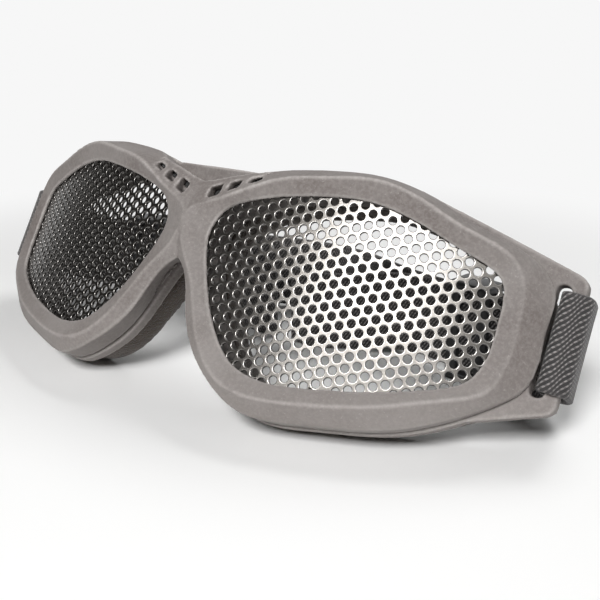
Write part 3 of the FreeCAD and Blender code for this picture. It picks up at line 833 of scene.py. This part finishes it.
def strap_stations():
    """The strap's sections from the middle of the back to the bar and in again to the tail."""
    drop = drop_stations(6)
    foot = slide_foot()[1]
    bar_offset = bar_width / 2 + strap_bar_gap + strap_thickness / 2
    start = run_end(1)
    middle = Vector((0, start.y + loop_rise, at_back))
    stations = []
    bow = bend(start, slide_way, middle, across, start.x * loop_bow_share, 9)
    for place, ahead in reversed(bow[1:]):
        stations.append((place, upright, ahead.cross(upright).normalized()))
    run_steps = 5
    for step in range(run_steps):
        place = foot + slide_way * (slide_run * (1 - step / run_steps)) + slide_out * half_layers
        stations.append((place, upright, slide_out))
    last = len(drop) - 1
    for index in range(last, 0, -1):
        place, up, outward = drop[index]
        distance = bar_offset + (half_layers - bar_offset) * smooth_step(index / last)
        stations.append((place + outward * distance, up, outward))
    turn_radius = strap_bar_gap + strap_thickness / 2
    for place, side in bar_turn():
        stations.append((leaned(place + side * turn_radius), leaned(upright), leaned(side)))
    for index in range(1, last + 1):
        place, up, outward = drop[index]
        distance = bar_offset + (half_layers - bar_offset) * smooth_step(index / last)
        stations.append((place - outward * distance, up, -outward))
    for step in range(1, run_steps + 1):
        place = foot + slide_way * (slide_run * step / run_steps) - slide_out * half_layers
        stations.append((place, upright, -slide_out))
    end = tail_end()
    flat_start = end - across * tail_flat
    start = run_end(-1)
    tail = bend(start, slide_way, flat_start, across, start.x - flat_start.x, 6)
    for place, ahead in tail[1:]:
        stations.append((place, upright, upright.cross(ahead).normalized()))
    stations.append(((flat_start + end) / 2, upright, upright.cross(across)))
    stations.append((end, upright, upright.cross(across)))
    return [(place + table_shift, up, outward) for place, up, outward in stations]


def spline_through(values, knots, wanted):
    """Natural cubic spline through the rows of values."""
    values = np.asarray(values, float)
    count = len(knots)
    gaps = np.diff(knots)
    slopes = np.diff(values, axis=0) / gaps[:, None]
    system = np.zeros((count, count))
    right = np.zeros_like(values)
    system[0, 0] = 1
    system[-1, -1] = 1
    for i in range(1, count - 1):
        system[i, i - 1] = gaps[i - 1]
        system[i, i] = 2 * (gaps[i - 1] + gaps[i])
        system[i, i + 1] = gaps[i]
        right[i] = 3 * (slopes[i] - slopes[i - 1])
    curves = np.linalg.solve(system, right)
    found = []
    for t in wanted:
        i = min(max(int(np.searchsorted(knots, t)) - 1, 0), count - 2)
        h = gaps[i]
        d = t - knots[i]
        slope = slopes[i] - h * (2 * curves[i] + curves[i + 1]) / 3
        change = (curves[i + 1] - curves[i]) / (3 * h)
        found.append(values[i] + slope * d + curves[i] * d ** 2 + change * d ** 3)
    return np.array(found)


def strap_section():
    """The webbing's section as (across, out), flat with rounded, slightly thicker edges."""
    half = strap_width / 2
    thick = strap_thickness / 2
    edge = 0.55 * mm
    hollow = 0.04 * mm
    points = []
    for share in np.linspace(-1, 1, 13):
        points.append((share * (half - edge), thick - hollow * (1 - abs(share) ** 6)))
    for angle in (60, 25, -25, -60):
        turn = math.radians(angle)
        points.append((half - edge + edge * math.cos(turn), thick * math.sin(turn)))
    for share in np.linspace(1, -1, 13):
        points.append((share * (half - edge), -thick + hollow * (1 - abs(share) ** 6)))
    for angle in (-120, -155, 155, 120):
        turn = math.radians(angle)
        points.append((-half + edge + edge * math.cos(turn), thick * math.sin(turn)))
    return points


def make_strap():
    """The webbing swept from the middle of the back to the left tail, and its mirror image."""
    row_step = 0.9 * mm
    stations = strap_stations()
    steps = [0]
    for before, after in zip(stations, stations[1:]):
        steps.append(steps[-1] + (after[0] - before[0]).length)
    length = steps[-1]
    rows = int(length / row_step)
    wanted = np.linspace(0, length, rows)
    middles, ups, outs = (
        spline_through([tuple(station[part]) for station in stations], steps, wanted) for part in range(3)
    )
    section = strap_section()
    form = bmesh.new()
    uv = form.loops.layers.uv.new("weave")
    loops = []
    for middle, up, out in zip(middles, ups, outs):
        up = Vector(up).normalized()
        out = Vector(out)
        out = (out - up * out.dot(up)).normalized()
        loops.append([form.verts.new(Vector(middle) + up * a + out * b) for a, b in section])
    count = len(section)
    for row in range(rows - 1):
        for index in range(count):
            after = (index + 1) % count
            spots = ((index, row), (index, row + 1), (after, row + 1), (after, row))
            face = form.faces.new([loops[line][spot] for spot, line in spots])
            for loop, (spot, line) in zip(face.loops, spots):
                loop[uv].uv = (section[spot][0] / mm, wanted[line] / mm)
    tail = form.faces.new(loops[-1])
    for loop, (spot, out) in zip(tail.loops, section):
        loop[uv].uv = (spot / mm, length / mm + out / mm)
    mirror = bmesh.ops.duplicate(form, geom=form.verts[:] + form.edges[:] + form.faces[:])["geom"]
    for vert in (item for item in mirror if isinstance(item, bmesh.types.BMVert)):
        vert.co.x = -vert.co.x
    bmesh.ops.remove_doubles(form, verts=form.verts, dist=0.01 * mm)
    bmesh.ops.recalc_face_normals(form, faces=form.faces)
    mesh = bpy.data.meshes.new("strap")
    form.to_mesh(mesh)
    form.free()
    smooth_shade(mesh)
    add_piece("strap_webbing", mesh, "goggles", webbing, "strap")


make_strap()


# Sliders and tail stitches

def make_sliders():
    """The slider solids with their flat faces made whole and their edges rounded."""
    for side in ("left", "right"):
        node = "slider_" + side
        mesh = merged_copy(node)
        form = bmesh.new()
        form.from_mesh(mesh)
        bmesh.ops.dissolve_limit(form, angle_limit=math.radians(2), verts=form.verts, edges=form.edges)
        form.to_mesh(mesh)
        form.free()
        mesh = through_modifiers(
            mesh,
            ("BEVEL", {"width": 0.45 * mm, "segments": 3, "limit_method": "ANGLE"}),
            ("WEIGHTED_NORMAL", {}),
        )
        smooth_shade(mesh)
        add_piece(node + "_moulding", mesh, side + "_slider", slider_plastic, node)


def stitch_shape():
    """One lozenge of twisted thread, lying along X."""
    form = bmesh.new()
    bmesh.ops.create_uvsphere(form, u_segments=8, v_segments=6, radius=1)
    long, wide, high = 0.85 * mm, 0.2 * mm, 0.17 * mm
    for vert in form.verts:
        x, y, z = vert.co
        vert.co = Vector((z * long, x * wide, y * high))
    mesh = bpy.data.meshes.new("stitch")
    form.to_mesh(mesh)
    form.free()
    shape = bpy.data.objects.new("stitch", mesh)
    scene.collection.objects.link(shape)
    return shape


def make_tail_stitches():
    """A zigzag bar tack up the end of each strap tail."""
    shape = stitch_shape()
    growth = Growth("bar_tack", (("Stitches", "Int"), ("Spacing", "Float"), ("Slant", "Float")))
    line = growth.add("GeometryNodeMeshLine", {}, {"Count": growth.given("Stitches")})
    offset = growth.add("ShaderNodeCombineXYZ", {}, {1: growth.given("Spacing")})
    growth.tree.links.new(offset, line.node.inputs["Offset"])
    index = growth.add("GeometryNodeInputIndex", {}, {})
    odd = growth.maths("MODULO", index, 2.0)
    way = growth.maths("SUBTRACT", growth.maths("MULTIPLY", odd, 2.0), 1.0)
    slant = growth.maths("MULTIPLY", way, growth.given("Slant"))
    turn = growth.add("ShaderNodeCombineXYZ", {}, {2: slant})
    picked = growth.add("GeometryNodeObjectInfo", {}, {"Object": shape}, "Geometry")
    sockets = {"Points": line, "Instance": picked, "Rotation": turn}
    laid = growth.add("GeometryNodeInstanceOnPoints", {}, sockets)
    growth.close(laid, thread)
    count = 27
    proud = 0.06 * mm
    reach = strap_width - 2 * stitch_inset
    spacing = reach / (count - 1)
    flat = growth.grow(bpy.data.meshes.new("bare"), Stitches=count, Spacing=spacing, Slant=0.5)
    end = tail_end() + table_shift
    place = Vector((
        end.x + stitch_inset,
        end.y - strap_thickness / 2 - proud,
        end.z - reach / 2,
    ))
    turn = Matrix((
        (1, 0, 0, place.x),
        (0, 0, 1, place.y),
        (0, 1, 0, place.z),
        (0, 0, 0, 1),
    ))
    flat.transform(turn)
    flat.flip_normals()
    smooth_shade(flat)
    for side, tack in (("left", flat), ("right", mirrored(flat))):
        node = "tail_stitch_" + side
        add_piece("tail_stitches_" + side, tack, "goggles", thread, node)
    bpy.data.objects.remove(shape)


def dress_seals():
    """The seals keep their solids and only get their rubber."""
    for seal in ("lens_seal_left", "lens_seal_right"):
        for material_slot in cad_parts[seal].material_slots:
            material_slot.material = seal_rubber


make_sliders()
make_tail_stitches()
dress_seals()


# Floor, world and lamps

def white_to_the_eye(tree, plain, shown):
    """Mixes two shaders: the second where the camera, a reflection or a see-through ray looks."""
    path = tree.nodes.new("ShaderNodeLightPath")
    looking = path.outputs["Is Camera Ray"]
    for ray in ("Is Glossy Ray", "Is Transmission Ray"):
        either = tree.nodes.new("ShaderNodeMath")
        either.operation = "MAXIMUM"
        tree.links.new(looking, either.inputs[0])
        tree.links.new(path.outputs[ray], either.inputs[1])
        looking = either.outputs[0]
    mix = tree.nodes.new("ShaderNodeMixShader")
    tree.links.new(looking, mix.inputs[0])
    tree.links.new(plain.outputs[0], mix.inputs[1])
    tree.links.new(shown.outputs[0], mix.inputs[2])
    return mix


paper_white = (0.93, 0.93, 0.93, 1)


def make_world():
    """A faint even light that looks white to the camera and in reflections."""
    world = bpy.data.worlds.new("studio")
    world.use_nodes = True
    tree = world.node_tree
    ambient = tree.nodes["Background"]
    ambient.inputs["Color"].default_value = (1, 0.985, 0.97, 1)
    ambient.inputs["Strength"].default_value = 0.03
    shown = tree.nodes.new("ShaderNodeBackground")
    shown.inputs["Color"].default_value = paper_white
    mix = white_to_the_eye(tree, ambient, shown)
    tree.links.new(mix.outputs[0], tree.nodes["World Output"].inputs["Surface"])
    scene.world = world


def make_floor():
    """A white table top that holds the shadow and runs into the white behind."""
    shadow_reach = 0.12
    white_reach = 0.25
    form = bmesh.new()
    bmesh.ops.create_grid(form, x_segments=1, y_segments=1, size=3)
    mesh = bpy.data.meshes.new("floor")
    form.to_mesh(mesh)
    form.free()
    floor = bpy.data.objects.new("floor", mesh)
    scene.collection.objects.link(floor)
    white = (0.93, 0.93, 0.925, 1)
    finish = Finish("floor_white", Roughness=0.9, Base_Color=white, Specular_IOR_Level=0.1)
    tree = finish.tree
    far = tree.nodes.new("ShaderNodeEmission")
    far.inputs["Color"].default_value = paper_white
    reach = finish.node("VectorMath", {"operation": "LENGTH"}, {0: finish.place()}, "Value")
    mix = tree.nodes.new("ShaderNodeMixShader")
    finish.feed(mix.inputs[0], finish.band(reach, shadow_reach, white_reach))
    tree.links.new(finish.surface.outputs[0], mix.inputs[1])
    tree.links.new(far.outputs[0], mix.inputs[2])
    tree.links.new(mix.outputs[0], tree.nodes["Material Output"].inputs["Surface"])
    mesh.materials.append(finish.material)


def seen_from_object(azimuth, elevation, distance):
    """A place out from the goggles; azimuth 0 is straight in front, and plus is the wearer's left."""
    a = math.radians(azimuth)
    e = math.radians(elevation)
    return Vector((math.sin(a) * math.cos(e), -math.cos(a) * math.cos(e), math.sin(e))) * distance


def aim(holder, place):
    """Puts a lamp or card at a place, facing the goggles."""
    holder.location = place
    holder.rotation_euler = (-place).to_track_quat("-Z", "Y").to_euler()


def add_lamp(name, place, size, power):
    lamp = bpy.data.lights.new(name, "AREA")
    lamp.shape = "RECTANGLE"
    lamp.size = size[0]
    lamp.size_y = size[1]
    lamp.energy = power
    holder = bpy.data.objects.new(name, lamp)
    scene.collection.objects.link(holder)
    aim(holder, place)
    return holder


def add_dark_card(name, place, size):
    """A black card beside the set, which the dark parts of the lenses mirror."""
    mesh = bpy.data.meshes.new(name)
    corners = [(x * size[0] / 2, y * size[1] / 2, 0) for x, y in ((-1, -1), (1, -1), (1, 1), (-1, 1))]
    mesh.from_pydata(corners, [], [(0, 1, 2, 3)])
    finish = Finish(name, Roughness=0.9, Base_Color=(0.02, 0.018, 0.017, 1))
    mesh.materials.append(finish.material)
    card = bpy.data.objects.new(name, mesh)
    scene.collection.objects.link(card)
    aim(card, place)
    card.visible_camera = False


make_world()
make_floor()
softbox = add_lamp("softbox", seen_from_object(14, 43.5, 1.0), (0.76, 0.23), 16.5)
softbox.visible_diffuse = False
key = add_lamp("key", seen_from_object(18, 40, 1.0), (0.24, 0.24), 9.5)
key.visible_glossy = False
add_lamp("window", seen_from_object(75, 40, 0.9), (0.4, 0.4), 0.3)
add_lamp("back_light", seen_from_object(165, 58, 0.9), (0.4, 0.4), 3)
add_dark_card("side_card", seen_from_object(-60, 28, 0.7), (1.15, 1.1))

scene.view_settings.view_transform = "Standard"
